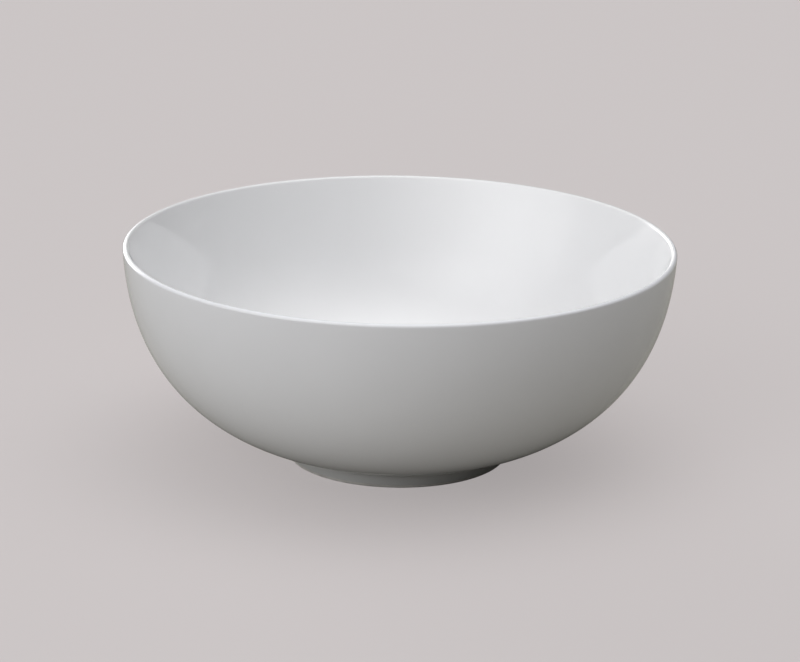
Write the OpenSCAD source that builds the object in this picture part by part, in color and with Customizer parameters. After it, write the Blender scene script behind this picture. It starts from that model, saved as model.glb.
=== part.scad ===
// Footed serving bowl in glazed porcelain.
// Everything is turned about the Z axis, and the bowl stands on Z = 0.
// Millimetres throughout. Sizes are over the glaze unless they say otherwise.

/* [Bowl] */
// Outside diameter where the wall runs into the rounded lip
rim_d = 240; // [230:1:250]
// Height of that same circle above the table
lip_z = 93.5; // [90:0.5:97]
// Height of the circle that the wall's curve would reach its full width at
full_width_z = 110.5; // [106:0.5:118]
// Height of the curve's lowest point, which the foot cuts off
keel_z = 2; // [1:0.1:3]
// Squareness of the wall's curve, where 2 gives an ellipse
fullness = 2.53; // [2.4:0.01:2.7]

/* [Wall] */
// Thickness of the wall at the lip
lip_t = 2.6; // [2.2:0.1:3.4]
// Thickness of the wall low down, before the floor thickens
wall_t = 7; // [6.4:0.1:7.6]
// Height below the lip over which the wall thickens to that
thin_run = 33; // [30:1:36]
// Thickness added in the middle of the floor
floor_extra_t = 2.6; // [2:0.1:4]
// Radius at which the floor begins to thicken
floor_r = 80; // [70:1:90]

/* [Foot ring] */
// Outside diameter where the foot ring meets the bowl
foot_top_d = 101; // [97:0.5:105]
// Outside diameter of the foot ring at its lower end
foot_d = 97; // [91:0.5:97]
// Thickness of the foot ring at its lower end
foot_t = 5; // [4:0.1:6]
// How much the foot ring's inside narrows towards the bowl
foot_inside_draft = 1.5; // [0.5:0.1:3]
// Rounding of the standing edge
edge_r = 0.9; // [0.6:0.1:1.1]
// Rise of the underside from the foot ring to its middle
dome_h = 0.8; // [0.4:0.1:1.5]

/* [Glaze] */
// Thickness of a coat of glaze
glaze_t = 0.38; // [0.3:0.01:0.5]
// Height of the bare porcelain at the standing edge
bare_h = 1.4; // [1.2:0.1:2]
// Run of the fillet of glaze that pools in a corner
pool_run = 2.2; // [1:0.1:2.6]

/* [Hidden] */

biscuit_colour = [0.86, 0.84, 0.81];
inside_glaze_colour = [0.90, 0.91, 0.92];
outside_glaze_colour = [0.88, 0.89, 0.90];
base_glaze_colour = [0.87, 0.88, 0.88];

$fn = 180;
wall_steps = 28;
inside_steps = 36;
lip_steps = 5;
edge_steps = 4;
pool_steps = 5;
dome_steps = 5;

rim_r = rim_d / 2;
foot_top_r = foot_top_d / 2;
foot_r = foot_d / 2;

// The outside of the wall is a quarter of a superellipse:
//   (r / full_width_r) ^ fullness + ((full_width_z - z) / curve_h) ^ fullness = 1
// An angle of 0 is its full width and 90 is its lowest point.
curve_h = full_width_z - keel_z;
lip_angle = asin(pow((full_width_z - lip_z) / curve_h, fullness / 2));
full_width_r = rim_r / pow(cos(lip_angle), 2 / fullness);

function angle_at_radius(r) = acos(pow(r / full_width_r, fullness / 2));

function wall_point(angle) = [
    full_width_r * pow(cos(angle), 2 / fullness),
    full_width_z - curve_h * pow(sin(angle), 2 / fullness)
];

function unit(v) = v / norm(v);

function wall_normal(angle) = unit([
    pow(cos(angle), 2 - 2 / fullness) / full_width_r,
    -pow(sin(angle), 2 - 2 / fullness) / curve_h
]);

// A point at some depth below the outside of the wall
function inset(angle, depth) = wall_point(angle) - depth * wall_normal(angle);

// The inside of the wall leans out more than the outside does, by this much at the lip
inside_lean = atan(2 * (wall_t - lip_t) / thin_run);
// Thickness at the lip that brings the inside of the wall up to touch the lip's half round
rim_t = lip_t / 2 * (1 + 1 / cos(inside_lean));

// The wall thickens from the lip down, quickly at first, and once more into the floor
function thin_share(z) = pow(1 - min(1, (lip_z - z) / thin_run), 2);
function floor_share(r) = pow(1 - pow(min(1, r / floor_r), 2), 2);
function thickness_at(p) =
    wall_t - (wall_t - rim_t) * thin_share(p[1]) + floor_extra_t * floor_share(p[0]);
function thickness(angle) = thickness_at(wall_point(angle));

function between(p, q, share) = p + (q - p) * share;
function angles(first, last, steps) =
    [for (i = [0:steps]) first + (last - first) * i / steps];
function arc(centre, radius, first, last, steps) =
    [for (a = angles(first, last, steps)) centre + radius * [cos(a), sin(a)]];
// A fillet that leaves the line p-corner at p and joins the line corner-q at q
function fillet(p, corner, q, steps) =
    [for (i = [0:steps]) between(between(p, corner, i / steps), between(corner, q, i / steps), i / steps)];
function reversed(points) = [for (i = [len(points) - 1:-1:0]) points[i]];

// Where the wall meets the foot ring
foot_angle = angle_at_radius(foot_top_r);
foot_corner = wall_point(foot_angle);
body_corner = inset(foot_angle, glaze_t);
underside_z = body_corner[1];

// The foot ring's two faces as the points at their upper and lower ends, over the glaze
ring_outside_top = [foot_top_r, underside_z];
ring_outside_low = [foot_r, bare_h];
ring_inside_low = [foot_r - foot_t, bare_h];
ring_inside_top = [foot_r - foot_t - foot_inside_draft, underside_z];
coat = [glaze_t, 0];

// The lip is a half round that the two sides of the wall run into
lip_centre = inset(lip_angle, lip_t / 2);
lip_normal = wall_normal(lip_angle);
lip_start = atan2(lip_normal[1], lip_normal[0]);

// Paths of points, each from the axis or the foot up to the lip
function outside_path(depth, first) =
    [for (a = angles(first, lip_angle, wall_steps)) inset(a, depth)];
function inside_path(cover) =
    [for (a = angles(90, lip_angle, inside_steps)) inset(a, thickness(a) - cover)];
function outer_lip(cover) = arc(lip_centre, lip_t / 2 - cover, lip_start, 90, lip_steps);
function inner_lip(cover) =
    arc(lip_centre, lip_t / 2 - cover, lip_start + 180 - inside_lean, 90, lip_steps);

// The underside within the foot ring, a shallow dome from its middle to the ring
dome_r = ring_inside_top[0] + glaze_t;
function dome_z(r) = underside_z + dome_h * (1 - pow(r / dome_r, 2));
function dome_path(last_r, cover) =
    [for (i = [0:dome_steps]) [last_r * i / dome_steps, dome_z(last_r * i / dome_steps) - cover]];

// Outer glaze where it leaves the wall, fills the corner and runs down the foot ring
pool_angle = angle_at_radius(foot_top_r + pool_run);
outer_pool_low = between(ring_outside_top, ring_outside_low, pool_run / underside_z);
outer_pool = fillet(outer_pool_low, foot_corner, wall_point(pool_angle), pool_steps);

// Base glaze where it leaves the dome, fills the corner and runs down inside the ring
base_pool_r = ring_inside_top[0] - pool_run;
base_corner = [ring_inside_top[0], underside_z - glaze_t];
base_pool_low = between(ring_inside_top, ring_inside_low, (pool_run + glaze_t) / underside_z);
base_pool = fillet([base_pool_r, dome_z(base_pool_r) - glaze_t], base_corner, base_pool_low, pool_steps);

function without_first(points) = [for (i = [1:len(points) - 1]) points[i]];

module turned(outline) {
    rotate_extrude() polygon(outline);
}

// Biscuit porcelain: the wall and floor, under the glaze
module bowl_body() {
    color(biscuit_colour)
        turned(concat(
            dome_path(dome_r, 0),
            [ring_outside_top - coat],
            outside_path(glaze_t, foot_angle),
            without_first(outer_lip(glaze_t)),
            without_first(reversed(inner_lip(glaze_t))),
            reversed(inside_path(glaze_t))
        ));
}

// Biscuit porcelain: the ring that the bowl stands on, with a bare rounded edge
module foot_ring() {
    edge_outside = [ring_outside_low[0] - glaze_t - edge_r, edge_r];
    edge_inside = [ring_inside_low[0] + glaze_t + edge_r, edge_r];
    color(biscuit_colour)
        turned(concat(
            [ring_inside_top + coat, ring_inside_low + coat],
            arc(edge_inside, edge_r, 180, 270, edge_steps),
            arc(edge_outside, edge_r, 270, 360, edge_steps),
            [ring_outside_low - coat, ring_outside_top - coat]
        ));
}

// Glaze over the inside of the bowl, up to the crest of the lip
module inner_glaze() {
    color(inside_glaze_colour)
        turned(concat(
            inside_path(glaze_t),
            inner_lip(glaze_t),
            reversed(inner_lip(0)),
            reversed(inside_path(0))
        ));
}

// Glaze from the crest of the lip over the outside and down the foot ring
module outer_glaze() {
    color(outside_glaze_colour)
        turned(concat(
            [ring_outside_low],
            outer_pool,
            without_first(outside_path(0, pool_angle)),
            without_first(outer_lip(0)),
            reversed(outer_lip(glaze_t)),
            without_first(reversed(outside_path(glaze_t, foot_angle))),
            [ring_outside_top - coat, ring_outside_low - coat]
        ));
}

// Glaze over the underside within the foot ring
module base_glaze() {
    color(base_glaze_colour)
        turned(concat(
            dome_path(base_pool_r, glaze_t),
            without_first(base_pool),
            [ring_inside_low, ring_inside_low + coat],
            reversed(dome_path(dome_r, 0))
        ));
}

bowl_body();
foot_ring();
inner_glaze();
outer_glaze();
base_glaze();
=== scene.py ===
"""A footed porcelain serving bowl: its smooth turned meshes, glazes and bare biscuit, on a pale studio floor.

Metres, in the CAD frame: +Z up along the turning axis, and the table at Z = 0.
"""

import math

import bmesh
import bpy
from mathutils import Matrix, Vector, noise


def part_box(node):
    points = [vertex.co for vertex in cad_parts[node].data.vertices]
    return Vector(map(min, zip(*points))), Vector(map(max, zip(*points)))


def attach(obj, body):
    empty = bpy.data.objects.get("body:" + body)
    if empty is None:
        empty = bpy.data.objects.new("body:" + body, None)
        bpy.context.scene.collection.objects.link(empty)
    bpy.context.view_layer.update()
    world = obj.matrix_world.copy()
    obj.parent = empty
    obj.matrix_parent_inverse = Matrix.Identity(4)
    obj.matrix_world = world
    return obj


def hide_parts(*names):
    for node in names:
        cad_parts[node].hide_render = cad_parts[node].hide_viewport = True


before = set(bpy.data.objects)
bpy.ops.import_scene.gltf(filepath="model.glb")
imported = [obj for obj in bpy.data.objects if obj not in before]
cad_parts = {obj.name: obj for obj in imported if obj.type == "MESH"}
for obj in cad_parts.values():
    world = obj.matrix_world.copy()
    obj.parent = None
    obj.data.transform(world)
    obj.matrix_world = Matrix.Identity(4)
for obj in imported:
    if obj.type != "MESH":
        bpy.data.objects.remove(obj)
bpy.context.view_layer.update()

MM = 0.001

# ---------------------------------------------------------------- sizes
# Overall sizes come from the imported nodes. The rest are the bowl's own proportions.
coat_low, coat_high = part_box("outer_glaze")

RIM_R = min(coat_high[0], coat_high[1], -coat_low[0], -coat_low[1])
CREST_Z = coat_high[2]
BARE_Z = coat_low[2]

LIP_T = 2.6 * MM
CREST_RISE = 1.385 * MM
LIP_Z = CREST_Z - CREST_RISE
FULL_WIDTH_RISE = 17 * MM
FULL_WIDTH_Z = LIP_Z + FULL_WIDTH_RISE
KEEL_Z = 2.0 * MM
FULLNESS = 2.53
WALL_T = 7.0 * MM
THIN_RUN = 33.0 * MM
FLOOR_EXTRA_T = 2.6 * MM
FLOOR_R = 80 * MM

FOOT_TOP_R = 50.5 * MM
FOOT_R = 48.5 * MM
FOOT_T = 5.0 * MM
FOOT_INSIDE_DRAFT = 1.5 * MM
EDGE_R = 0.9 * MM
DOME_H = 0.8 * MM

GLAZE_T = 0.38 * MM
POOL_RUN = 2.2 * MM

# How far the fired clay pulls in from true round at the lip, and how unevenly the glaze lies.
WARP = 0.16 * MM
WARP_SCALE = 9.0
WARP_SEED = Vector((3.1, 7.7, 1.3))
BROAD_FLOW = 0.022 * MM
BROAD_FLOW_SCALE = 38.0
BROAD_FLOW_SEED = Vector((11.0, 2.0, 5.0))
FINE_FLOW = 0.006 * MM
FINE_FLOW_SCALE = 90.0
FINE_FLOW_SEED = Vector((1.0, 9.0, 4.0))
STILL_BELOW_LIP = 8 * MM
STILL_ABOVE_FOOT = 4 * MM

# ---------------------------------------------------------------- how finely each mesh is turned
TURNS = 360
WALL_STEPS = 110
BACK_STEPS = 40
LIP_STEPS = 8
POOL_STEPS = 8
EDGE_STEPS = 8
DOME_STEPS = 24
SAME_POINT = 1e-7

# ---------------------------------------------------------------- the profile, as (radius, height)
CURVE_H = FULL_WIDTH_Z - KEEL_Z
LIP_ANGLE = math.asin(((FULL_WIDTH_Z - LIP_Z) / CURVE_H) ** (FULLNESS / 2))
FULL_WIDTH_R = RIM_R / math.cos(LIP_ANGLE) ** (2 / FULLNESS)


def angle_at_radius(radius):
    return math.acos((radius / FULL_WIDTH_R) ** (FULLNESS / 2))


def wall_point(angle):
    """A point on the outside of the wall, a quarter of a superellipse."""
    across = max(math.cos(angle), 0.0) ** (2 / FULLNESS)
    down = math.sin(angle) ** (2 / FULLNESS)
    return Vector((FULL_WIDTH_R * across, FULL_WIDTH_Z - CURVE_H * down))


def wall_normal(angle):
    across = max(math.cos(angle), 0.0) ** (2 - 2 / FULLNESS)
    down = math.sin(angle) ** (2 - 2 / FULLNESS)
    return Vector((across / FULL_WIDTH_R, -down / CURVE_H)).normalized()


def inset(angle, depth):
    return wall_point(angle) - depth * wall_normal(angle)


def thickness(angle):
    """The wall thins towards the lip, and the floor thickens towards its middle."""
    point = wall_point(angle)
    thin_share = (1 - min(1.0, (LIP_Z - point.y) / THIN_RUN)) ** 2
    floor_share = (1 - min(1.0, point.x / FLOOR_R) ** 2) ** 2
    return WALL_T - (WALL_T - RIM_T) * thin_share + FLOOR_EXTRA_T * floor_share


def steps_between(first, last, steps):
    return [first + (last - first) * i / steps for i in range(steps + 1)]


def arc(centre, radius, first, last, steps):
    """Points on a circle, with its angles in degrees."""
    turns = [math.radians(a) for a in steps_between(first, last, steps)]
    return [centre + radius * Vector((math.cos(a), math.sin(a))) for a in turns]


def fillet(start, corner, end, steps):
    shares = steps_between(0, 1, steps)
    return [start.lerp(corner, s).lerp(corner.lerp(end, s), s) for s in shares]


def on_line(start, end, height):
    return start.lerp(end, (height - start.y) / (end.y - start.y))


FOOT_ANGLE = angle_at_radius(FOOT_TOP_R)
FOOT_CORNER = wall_point(FOOT_ANGLE)
UNDERSIDE_Z = inset(FOOT_ANGLE, GLAZE_T).y
COAT = Vector((GLAZE_T, 0))
RING_OUT_TOP = Vector((FOOT_TOP_R, UNDERSIDE_Z))
RING_OUT_LOW = Vector((FOOT_R, BARE_Z))
RING_IN_LOW = Vector((FOOT_R - FOOT_T, BARE_Z))
RING_IN_TOP = Vector((FOOT_R - FOOT_T - FOOT_INSIDE_DRAFT, UNDERSIDE_Z))
DOME_R = RING_IN_TOP.x + GLAZE_T

# The inside of the wall leans out more than the outside, and runs up to touch the lip's half round.
INSIDE_LEAN = math.atan(2 * (WALL_T - LIP_T) / THIN_RUN)
RIM_T = LIP_T / 2 * (1 + 1 / math.cos(INSIDE_LEAN))
lip_normal = wall_normal(LIP_ANGLE)
LIP_CENTRE = inset(LIP_ANGLE, LIP_T / 2)
LIP_START = math.degrees(math.atan2(lip_normal.y, lip_normal.x))


def outside_path(depth, first, steps):
    return [inset(a, depth) for a in steps_between(first, LIP_ANGLE, steps)]


def inside_path(cover, steps):
    return [inset(a, thickness(a) - cover) for a in steps_between(math.pi / 2, LIP_ANGLE, steps)]


def outer_lip(cover):
    return arc(LIP_CENTRE, LIP_T / 2 - cover, LIP_START, 90, LIP_STEPS)


def inner_lip(cover):
    start = LIP_START + 180 - math.degrees(INSIDE_LEAN)
    return arc(LIP_CENTRE, LIP_T / 2 - cover, start, 90, LIP_STEPS)


def dome_z(radius):
    return UNDERSIDE_Z + DOME_H * (1 - (radius / DOME_R) ** 2)


def dome_path(last_r, cover):
    return [Vector((r, dome_z(r) - cover)) for r in steps_between(0, last_r, DOME_STEPS)]


def joined(*paths):
    """One outline from paths that run on from each other, without the points they share."""
    points = []
    for path in paths:
        for point in path:
            if not points or (point - points[-1]).length > SAME_POINT:
                points.append(point)
    if (points[0] - points[-1]).length < SAME_POINT:
        points.pop()
    return points


# ---------------------------------------------------------------- turning an outline into a mesh
def kiln_warp(place):
    """How far the fired clay has moved in from true round: a slow wander round the lip, none at the foot."""
    height = max(place.z, 0.0) / CREST_Z
    slow = noise.noise(place * WARP_SCALE + WARP_SEED)
    return WARP * height * height * (slow - 1.0)


def glaze_flow(place):
    """Slight unevenness in the thickness of the fired glaze."""
    broad = noise.noise(place * BROAD_FLOW_SCALE + BROAD_FLOW_SEED)
    fine = noise.noise(place * FINE_FLOW_SCALE + FINE_FLOW_SEED)
    return BROAD_FLOW * broad + FINE_FLOW * fine


def turned(name, outline, flow=None):
    """A closed piece turned about Z from a closed outline. flow(point) is how freely glaze flows, 0 to 1."""
    mesh = bmesh.new()
    rings = []
    for point in outline:
        if point.x < SAME_POINT:
            rings.append([mesh.verts.new((0, 0, point.y))])
            continue
        ring = []
        for turn in range(TURNS):
            angle = math.tau * turn / TURNS
            ring.append(mesh.verts.new((point.x * math.cos(angle), point.x * math.sin(angle), point.y)))
        rings.append(ring)
    for lower, upper in zip(rings, rings[1:] + rings[:1]):
        if len(lower) == 1 and len(upper) == 1:
            continue
        for turn in range(TURNS):
            after = (turn + 1) % TURNS
            corners = [lower[turn % len(lower)], lower[after % len(lower)]]
            corners += [upper[after % len(upper)], upper[turn % len(upper)]]
            face = [c for i, c in enumerate(corners) if c not in corners[:i]]
            mesh.faces.new(face)
    bmesh.ops.recalc_face_normals(mesh, faces=mesh.faces)
    mesh.normal_update()
    moves = []
    for ring, point in zip(rings, outline):
        share = flow(point) if flow else 0.0
        for vertex in ring:
            place = vertex.co.copy()
            out = Vector((place.x, place.y, 0)).normalized() if point.x > 0 else Vector()
            move = out * kiln_warp(place)
            if share:
                move += vertex.normal * share * glaze_flow(place)
            moves.append((vertex, place + move))
    for vertex, place in moves:
        vertex.co = place
    data = bpy.data.meshes.new(name)
    mesh.to_mesh(data)
    mesh.free()
    data.shade_smooth()
    piece = bpy.data.objects.new(name, data)
    bpy.context.scene.collection.objects.link(piece)
    return piece


def finish_piece(piece, node, material):
    piece.data.materials.append(material)
    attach(piece, "root")
    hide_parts(node)


# ---------------------------------------------------------------- node helpers for the materials
class Shader:
    """A Principled material with short calls for adding and joining nodes."""

    def __init__(self, name):
        self.material = bpy.data.materials.new(name)
        self.material.use_nodes = True
        self.tree = self.material.node_tree
        self.principled = self.tree.nodes["Principled BSDF"]
        self.place = self.add("ShaderNodeTexCoord").outputs["Object"]

    def add(self, kind, **settings):
        node = self.tree.nodes.new(kind)
        for key, value in settings.items():
            setattr(node, key, value)
        return node

    def feed(self, socket, value):
        if isinstance(value, bpy.types.NodeSocket):
            self.tree.links.new(value, socket)
        else:
            socket.default_value = value

    def set(self, **values):
        """Constants on the Principled shader's own sockets, with _ for a space in a socket's name."""
        for key, value in values.items():
            self.principled.inputs[key.replace("_", " ")].default_value = value

    def noise(self, scale, detail=2.0, roughness=0.5, place=None):
        node = self.add("ShaderNodeTexNoise")
        self.feed(node.inputs["Vector"], place or self.place)
        self.feed(node.inputs["Scale"], scale)
        self.feed(node.inputs["Detail"], detail)
        self.feed(node.inputs["Roughness"], roughness)
        return node.outputs["Fac"]

    def math(self, operation, a, b=0.0):
        node = self.add("ShaderNodeMath", operation=operation)
        self.feed(node.inputs[0], a)
        self.feed(node.inputs[1], b)
        return node.outputs[0]

    def ramp(self, value, low, high, to_low=0.0, to_high=1.0):
        """Maps low..high to to_low..to_high smoothly and holds the ends."""
        node = self.add("ShaderNodeMapRange", interpolation_type="SMOOTHSTEP")
        for key, setting in enumerate((value, low, high, to_low, to_high)):
            self.feed(node.inputs[key], setting)
        return node.outputs[0]

    def mix(self, share, a, b):
        node = self.add("ShaderNodeMix", data_type="RGBA")
        self.feed(node.inputs[0], share)
        self.feed(node.inputs[6], a)
        self.feed(node.inputs[7], b)
        return node.outputs[2]

    def height(self):
        split = self.add("ShaderNodeSeparateXYZ")
        self.feed(split.inputs[0], self.place)
        return split.outputs["Z"]

    def radius(self):
        split = self.add("ShaderNodeSeparateXYZ")
        self.feed(split.inputs[0], self.place)
        flat = self.add("ShaderNodeCombineXYZ")
        self.feed(flat.inputs[0], split.outputs["X"])
        self.feed(flat.inputs[1], split.outputs["Y"])
        length = self.add("ShaderNodeVectorMath", operation="LENGTH")
        self.feed(length.inputs[0], flat.outputs[0])
        return length.outputs["Value"]

    def bump(self, height, distance, under=None):
        node = self.add("ShaderNodeBump")
        self.feed(node.inputs["Height"], height)
        self.feed(node.inputs["Distance"], distance)
        self.feed(node.inputs["Strength"], 1.0)
        if under is not None:
            self.feed(node.inputs["Normal"], under)
        return node.outputs[0]


def colour(red, green, blue):
    return (red, green, blue, 1.0)


# ---------------------------------------------------------------- looks
# Where most of a noise texture's values lie.
NOISE_MIDDLE = (0.3, 0.7)

# Glaze: its tints, and painted shade that darkens it towards the foot and on the underside, where the floor
# and the overhanging wall shade it.
INSIDE_TINT = (0.856, 0.858, 0.870)
OUTSIDE_TINT = (0.862, 0.868, 0.905)
CLOUD_SCALE = 14.0
CLOUD_SHADE = 0.975
FOOT_PAINTED_SHADE_TINT = (0.55, 0.55, 0.535)
FOOT_PAINTED_SHADE_SHARE = 0.75
FOOT_PAINTED_SHADE_HEIGHTS = (9.0 * MM, 6.0 * MM)

# Iron specks: cells to the metre, a speck's size in its cell, its solid core, share of cells, and strength.
SPECK_SCALE = 55.0
SPECK_SIZE = 0.022
SPECK_CORE = 0.45
SPECK_SHARE = 0.04
SPECK_STRENGTH = 0.55
SPECK_TINT = (0.30, 0.27, 0.23)

# The glaze's surface: how rough, more so where worn, and the depths of its ripple, throwing rings and pits.
WEAR_SCALE = 22.0
WEAR_RANGE = (0.3, 0.75)
GLAZE_ROUGHNESS = (0.045, 0.085)
GLAZE_IOR = 1.52
PEEL_SCALE = 330.0
PEEL_DEPTH = 0.006 * MM
RING_SCALES = (5.0, 160.0)
RING_DEPTH = 0.02 * MM
PIT_DEPTH = 0.05 * MM

# Bare biscuit: its tints, the soil at the standing edge, and its grain and turning marks.
BISCUIT_DARK = (0.58, 0.565, 0.54)
BISCUIT_PALE = (0.66, 0.645, 0.62)
BISCUIT_ROUGHNESS = (0.62, 0.8)
BISCUIT_IOR = 1.5
MOTTLE_SCALE = 160.0
SOIL_TINT = (0.33, 0.315, 0.30)
SOIL_HEIGHT = 0.5 * MM
SOIL_SCALE = 240.0
SOIL_RANGE = (0.42, 0.62)
SOIL_SHARE = 0.5
GRAIN_SCALE = 1400.0
GRAIN_DEPTH = 0.05 * MM
TURNING_SCALE = 2600.0
TURNING_DEPTH = 0.03 * MM

# Floor: the share of its look that it gives off itself, that look, and its colours to the eye and to light.
FLOOR_GLOW = 0.6
FLOOR_LOOK = (0.617, 0.578, 0.578)
FLOOR_SEEN = (0.585, 0.55, 0.55)
FLOOR_BOUNCE = (0.340, 0.328, 0.295)
FLOOR_TONE_SCALE = 3.0
FLOOR_TONE_SHADE = 0.985
FLOOR_SIZE = 12.0


# ---------------------------------------------------------------- materials
def shaded(tint, share):
    return colour(*[c * share for c in tint])


def specks(shader):
    """1 on rare small round spots: iron specks and pinholes."""
    cells = shader.add("ShaderNodeTexVoronoi", feature="F1")
    shader.feed(cells.inputs["Vector"], shader.place)
    shader.feed(cells.inputs["Scale"], SPECK_SCALE)
    shader.feed(cells.inputs["Randomness"], 1.0)
    spot = shader.ramp(cells.outputs["Distance"], SPECK_SIZE, SPECK_SIZE * SPECK_CORE)
    split = shader.add("ShaderNodeSeparateColor")
    shader.feed(split.inputs[0], cells.outputs["Color"])
    chosen = shader.math("GREATER_THAN", split.outputs[0], 1.0 - SPECK_SHARE)
    return shader.math("MULTIPLY", spot, chosen)


def porcelain_glaze(name, tint):
    """Clear glaze over white clay: a hard bright gloss, with a few iron specks and pits, and painted shade
    towards the foot.
    """
    shader = Shader(name)
    clouds = shader.ramp(shader.noise(CLOUD_SCALE, 3.0), *NOISE_MIDDLE)
    base = shader.mix(clouds, colour(*tint), shaded(tint, CLOUD_SHADE))
    # Painted shade: the glaze darkens towards the foot and on the underside, where the floor and the overhang
    # shade it.
    painted_foot_shade = shader.ramp(shader.height(), *FOOT_PAINTED_SHADE_HEIGHTS)
    base = shader.mix(shader.math("MULTIPLY", painted_foot_shade, FOOT_PAINTED_SHADE_SHARE), base, colour(*FOOT_PAINTED_SHADE_TINT))
    iron = specks(shader)
    base = shader.mix(shader.math("MULTIPLY", iron, SPECK_STRENGTH), base, colour(*SPECK_TINT))
    shader.feed(shader.principled.inputs["Base Color"], base)
    worn = shader.noise(WEAR_SCALE, 4.0, 0.6)
    shader.feed(shader.principled.inputs["Roughness"], shader.ramp(worn, *WEAR_RANGE, *GLAZE_ROUGHNESS))
    shader.set(IOR=GLAZE_IOR, Specular_IOR_Level=0.5)
    skin = shader.bump(shader.noise(PEEL_SCALE, 2.0, 0.4), PEEL_DEPTH)
    rings = shader.noise(1.0, 1.0, place=stretched(shader, *RING_SCALES))
    skin = shader.bump(rings, RING_DEPTH, under=skin)
    skin = shader.bump(shader.math("MULTIPLY", iron, -1.0), PIT_DEPTH, under=skin)
    shader.feed(shader.principled.inputs["Normal"], skin)
    return shader.material


def stretched(shader, across, up):
    """Object coordinates scaled apart, so that noise forms level rings."""
    mapping = shader.add("ShaderNodeMapping")
    shader.feed(mapping.inputs["Vector"], shader.place)
    mapping.inputs["Scale"].default_value = (across, across, up)
    return mapping.outputs[0]


def bare_biscuit(name):
    """Unglazed fired porcelain, ground flat and slightly soiled where it stands."""
    shader = Shader(name)
    grain = shader.noise(GRAIN_SCALE, 3.0, 0.6)
    mottle = shader.noise(MOTTLE_SCALE, 3.0)
    base = shader.mix(shader.ramp(mottle, *NOISE_MIDDLE), colour(*BISCUIT_DARK), colour(*BISCUIT_PALE))
    standing = shader.ramp(shader.height(), SOIL_HEIGHT, 0.0)
    patches = shader.ramp(shader.noise(SOIL_SCALE, 4.0), *SOIL_RANGE, 0.0, SOIL_SHARE)
    base = shader.mix(shader.math("MULTIPLY", standing, patches), base, colour(*SOIL_TINT))
    shader.feed(shader.principled.inputs["Base Color"], base)
    shader.feed(shader.principled.inputs["Roughness"], shader.ramp(mottle, *NOISE_MIDDLE, *BISCUIT_ROUGHNESS))
    shader.set(IOR=BISCUIT_IOR, Specular_IOR_Level=0.4)
    rough = shader.bump(grain, GRAIN_DEPTH)
    turning = shader.noise(1.0, 0.0, place=rings_by_radius(shader, TURNING_SCALE))
    shader.feed(shader.principled.inputs["Normal"], shader.bump(turning, TURNING_DEPTH, under=rough))
    return shader.material


def rings_by_radius(shader, scale):
    """Coordinates that change with the radius alone, so that noise forms rings round the axis."""
    flat = shader.add("ShaderNodeCombineXYZ")
    shader.feed(flat.inputs[0], shader.math("MULTIPLY", shader.radius(), scale))
    return flat.outputs[0]


def floor_material():
    """Pale to the eye, but it throws little light on the bowl. Its glow, seen only, makes shadows faint."""
    shader = Shader("studio_floor")
    tone = shader.noise(FLOOR_TONE_SCALE, 2.0)
    lit = 1 - FLOOR_GLOW
    seen = shader.mix(tone, shaded(FLOOR_SEEN, lit), shaded(FLOOR_SEEN, lit * FLOOR_TONE_SHADE))
    looked_at = shader.add("ShaderNodeLightPath").outputs["Is Camera Ray"]
    base = shader.mix(looked_at, colour(*FLOOR_BOUNCE), seen)
    shader.feed(shader.principled.inputs["Base Color"], base)
    shader.set(Roughness=0.9, Specular_IOR_Level=0.0, Emission_Color=colour(*FLOOR_LOOK))
    shader.feed(shader.principled.inputs["Emission Strength"], shader.math("MULTIPLY", looked_at, FLOOR_GLOW))
    return shader.material


# ---------------------------------------------------------------- the pieces
def inner_coat():
    path = joined(
        inside_path(GLAZE_T, BACK_STEPS), inner_lip(GLAZE_T),
        inner_lip(0)[::-1], inside_path(0, WALL_STEPS)[::-1],
    )
    return turned("inside_glaze_coat", path, flow=glaze_share)


def outer_coat():
    pool_angle = angle_at_radius(FOOT_TOP_R + POOL_RUN)
    pool_low = on_line(RING_OUT_TOP, RING_OUT_LOW, UNDERSIDE_Z - POOL_RUN)
    path = joined(
        rounded_end(RING_OUT_LOW, -1),
        fillet(pool_low, FOOT_CORNER, wall_point(pool_angle), POOL_STEPS),
        outside_path(0, pool_angle, WALL_STEPS), outer_lip(0),
        outer_lip(GLAZE_T)[::-1], outside_path(GLAZE_T, FOOT_ANGLE, BACK_STEPS)[::-1],
        [RING_OUT_TOP - COAT, RING_OUT_LOW - COAT],
    )
    return turned("outside_glaze_coat", path, flow=glaze_share)


def base_coat():
    pool_r = RING_IN_TOP.x - POOL_RUN
    corner = Vector((RING_IN_TOP.x, UNDERSIDE_Z - GLAZE_T))
    pool_low = on_line(RING_IN_TOP, RING_IN_LOW, UNDERSIDE_Z - GLAZE_T - POOL_RUN)
    path = joined(
        dome_path(pool_r, GLAZE_T),
        fillet(Vector((pool_r, dome_z(pool_r) - GLAZE_T)), corner, pool_low, POOL_STEPS),
        rounded_end(RING_IN_LOW, 1)[::-1],
        [RING_IN_LOW + COAT], dome_path(DOME_R, 0)[::-1],
    )
    return turned("underside_glaze_coat", path)


def rounded_end(low, side):
    """The glaze's lower edge, rolled over to the clay. side is -1 where the clay lies inwards, 1 outwards."""
    centre = low + Vector((side * GLAZE_T, GLAZE_T))
    first, last = (270, 360) if side < 0 else (270, 180)
    return arc(centre, GLAZE_T, first, last, EDGE_STEPS // 2)


def glaze_share(point):
    """Glaze flows on the wall and floor, and is still at the lip and at the foot."""
    from_lip = (CREST_Z - point.y) / STILL_BELOW_LIP
    from_foot = (point.y - UNDERSIDE_Z) / STILL_ABOVE_FOOT
    return max(0.0, min(1.0, from_lip, from_foot))


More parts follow.
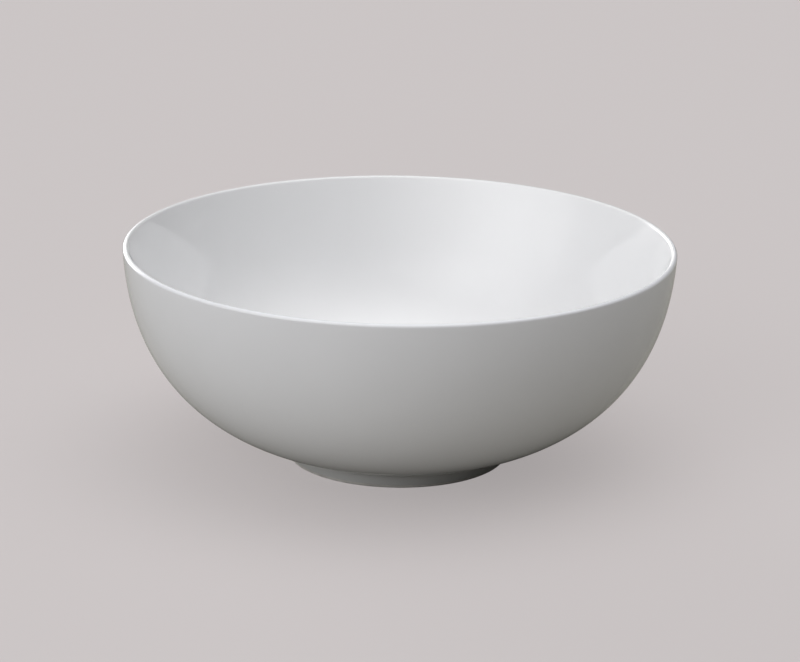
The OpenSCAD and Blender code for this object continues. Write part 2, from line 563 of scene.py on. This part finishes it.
def foot_ring():
    edge_out = Vector((RING_OUT_LOW.x - GLAZE_T - EDGE_R, EDGE_R))
    edge_in = Vector((RING_IN_LOW.x + GLAZE_T + EDGE_R, EDGE_R))
    path = joined(
        [RING_IN_TOP + COAT, RING_IN_LOW + COAT],
        arc(edge_in, EDGE_R, 180, 270, EDGE_STEPS), arc(edge_out, EDGE_R, 270, 360, EDGE_STEPS),
        [RING_OUT_LOW - COAT, RING_OUT_TOP - COAT],
    )
    return turned("foot_ring_biscuit", path)


def bowl_body():
    path = joined(
        dome_path(DOME_R, 0), [RING_OUT_TOP - COAT],
        outside_path(GLAZE_T, FOOT_ANGLE, BACK_STEPS), outer_lip(GLAZE_T),
        inner_lip(GLAZE_T)[::-1], inside_path(GLAZE_T, BACK_STEPS)[::-1],
    )
    return turned("bowl_body_biscuit", path)


inside_glaze = porcelain_glaze("inside_glaze", INSIDE_TINT)
outside_glaze = porcelain_glaze("outside_glaze", OUTSIDE_TINT)
base_glaze = porcelain_glaze("base_glaze", OUTSIDE_TINT)
biscuit = bare_biscuit("biscuit_porcelain")

finish_piece(inner_coat(), "inner_glaze", inside_glaze)
finish_piece(outer_coat(), "outer_glaze", outside_glaze)
finish_piece(base_coat(), "base_glaze", base_glaze)
finish_piece(foot_ring(), "foot_ring", biscuit)
finish_piece(bowl_body(), "bowl_body", biscuit)


# ---------------------------------------------------------------- floor
def studio_floor(size):
    half = size / 2
    corners = [(-half, -half, 0), (half, -half, 0), (half, half, 0), (-half, half, 0)]
    data = bpy.data.meshes.new("studio_floor")
    data.from_pydata(corners, [], [(0, 1, 2, 3)])
    floor = bpy.data.objects.new("studio_floor", data)
    bpy.context.scene.collection.objects.link(floor)
    data.materials.append(floor_material())


studio_floor(FLOOR_SIZE)


# ---------------------------------------------------------------- camera
CAMERA_HEIGHT = 17.4
CAMERA_TIP = 0.86
CAMERA_DISTANCE = 12.5 * RIM_R
LENS = 154.4
SENSOR_WIDTH = 36.0
SHIFT = (0.0020, 0.0223)


def add_camera():
    """Looks down at the bowl from in front, tipped a little, with the bowl just below the frame's middle."""
    elevation = math.radians(CAMERA_HEIGHT)
    tip = math.radians(CAMERA_TIP)
    target = Vector((0, 0, CREST_Z / 2))
    data = bpy.data.cameras.new("camera")
    data.sensor_width = SENSOR_WIDTH
    data.lens = LENS
    data.shift_x, data.shift_y = SHIFT
    camera = bpy.data.objects.new("camera", data)
    bpy.context.scene.collection.objects.link(camera)
    back = Vector((0, -math.cos(elevation), math.sin(elevation)))
    turn = back.to_track_quat("Z", "Y").to_matrix().to_4x4()
    place = Matrix.Translation(target + back * CAMERA_DISTANCE)
    camera.matrix_world = place @ turn @ Matrix.Rotation(tip, 4, "Z")
    bpy.context.scene.camera = camera


add_camera()


# ---------------------------------------------------------------- light
# Soft studio light as broad glows on the sky: compass turn from +X, height, sharpness and strength.
GLOWS = {
    "overhead": (0, 90, 8, 2.40),
    "front_left_box": (230, 32, 16, 1.40),
    "left_box": (216, 32, 16, 0.56),
    "front_box": (255, 32, 16, 0.86),
    "right_high": (0, 60, 8, 0.90),
    "back_right_high": (60, 60, 8, 0.29),
    "left_low": (195, 8, 30, 1.15),
    "front_left_low": (210, 8, 30, 0.70),
    "front_low": (225, 8, 30, 1.60),
    "back_left_low": (120, 8, 30, 6.60),
    "behind_low": (105, 8, 30, 1.60),
}
# A tall soft box on the left, in degrees. Its front edge leans back with height, and the wall mirrors it.
PANEL_TURNS = (188, 217)
PANEL_HEIGHTS = (2, 50)
PANEL_LEAN = 0.3
PANEL_LEAN_FROM = 18
PANEL_SOFT = 3
PANEL_STRENGTH = 0.32


class Sky:
    """A world whose brightness is worked out from the direction looked in."""

    def __init__(self, name):
        self.world = bpy.data.worlds.new(name)
        self.world.use_nodes = True
        self.nodes, self.links = self.world.node_tree.nodes, self.world.node_tree.links
        self.direction = self.nodes.new("ShaderNodeTexCoord").outputs["Generated"]

    def math(self, operation, *values):
        node = self.nodes.new("ShaderNodeMath")
        node.operation = operation
        for socket, value in zip(node.inputs, values):
            if isinstance(value, bpy.types.NodeSocket):
                self.links.new(value, socket)
            else:
                socket.default_value = value
        return node.outputs[0]

    def step(self, value, edge, up=True):
        """0 to 1 across a soft edge, or 1 to 0."""
        node = self.nodes.new("ShaderNodeMapRange")
        node.interpolation_type = "SMOOTHSTEP"
        self.links.new(value, node.inputs[0])
        ends = (edge - PANEL_SOFT, edge + PANEL_SOFT, 0.0 if up else 1.0, 1.0 if up else 0.0)
        for key, setting in enumerate(ends, 1):
            node.inputs[key].default_value = setting
        return node.outputs[0]

    def glow(self, turn, height, sharpness, strength):
        turn, height = math.radians(turn), math.radians(height)
        towards = self.nodes.new("ShaderNodeVectorMath")
        towards.operation = "DOT_PRODUCT"
        self.links.new(self.direction, towards.inputs[0])
        level = math.cos(height)
        towards.inputs[1].default_value = (level * math.cos(turn), level * math.sin(turn), math.sin(height))
        facing = self.math("MAXIMUM", towards.outputs["Value"], 0.0)
        return self.math("MULTIPLY", self.math("POWER", facing, sharpness), strength)

    def panel(self):
        split = self.nodes.new("ShaderNodeSeparateXYZ")
        self.links.new(self.direction, split.inputs[0])
        turn = self.math("ARCTAN2", split.outputs["Y"], split.outputs["X"])
        turn = self.math("MODULO", self.math("ADD", self.math("DEGREES", turn), 360.0), 360.0)
        height = self.math("DEGREES", self.math("ARCSINE", split.outputs["Z"]))
        lean = self.math("MULTIPLY", self.math("SUBTRACT", height, PANEL_LEAN_FROM), PANEL_LEAN)
        front_edge = self.step(self.math("ADD", turn, lean), PANEL_TURNS[1], up=False)
        share = self.math("MULTIPLY", self.step(turn, PANEL_TURNS[0]), front_edge)
        share = self.math("MULTIPLY", share, self.step(height, PANEL_HEIGHTS[0]))
        share = self.math("MULTIPLY", share, self.step(height, PANEL_HEIGHTS[1], up=False))
        return self.math("MULTIPLY", share, PANEL_STRENGTH)


def studio_air():
    """The sky that lights the bowl, as the sum of the panel and the glows."""
    sky = Sky("studio_air")
    total = sky.panel()
    for glow in GLOWS.values():
        total = sky.math("ADD", total, sky.glow(*glow))
    background = sky.nodes["Background"]
    background.inputs["Color"].default_value = (1.0, 1.0, 1.0, 1.0)
    sky.links.new(total, background.inputs["Strength"])
    bpy.context.scene.world = sky.world


studio_air()
bpy.context.scene.view_settings.view_transform = "Standard"
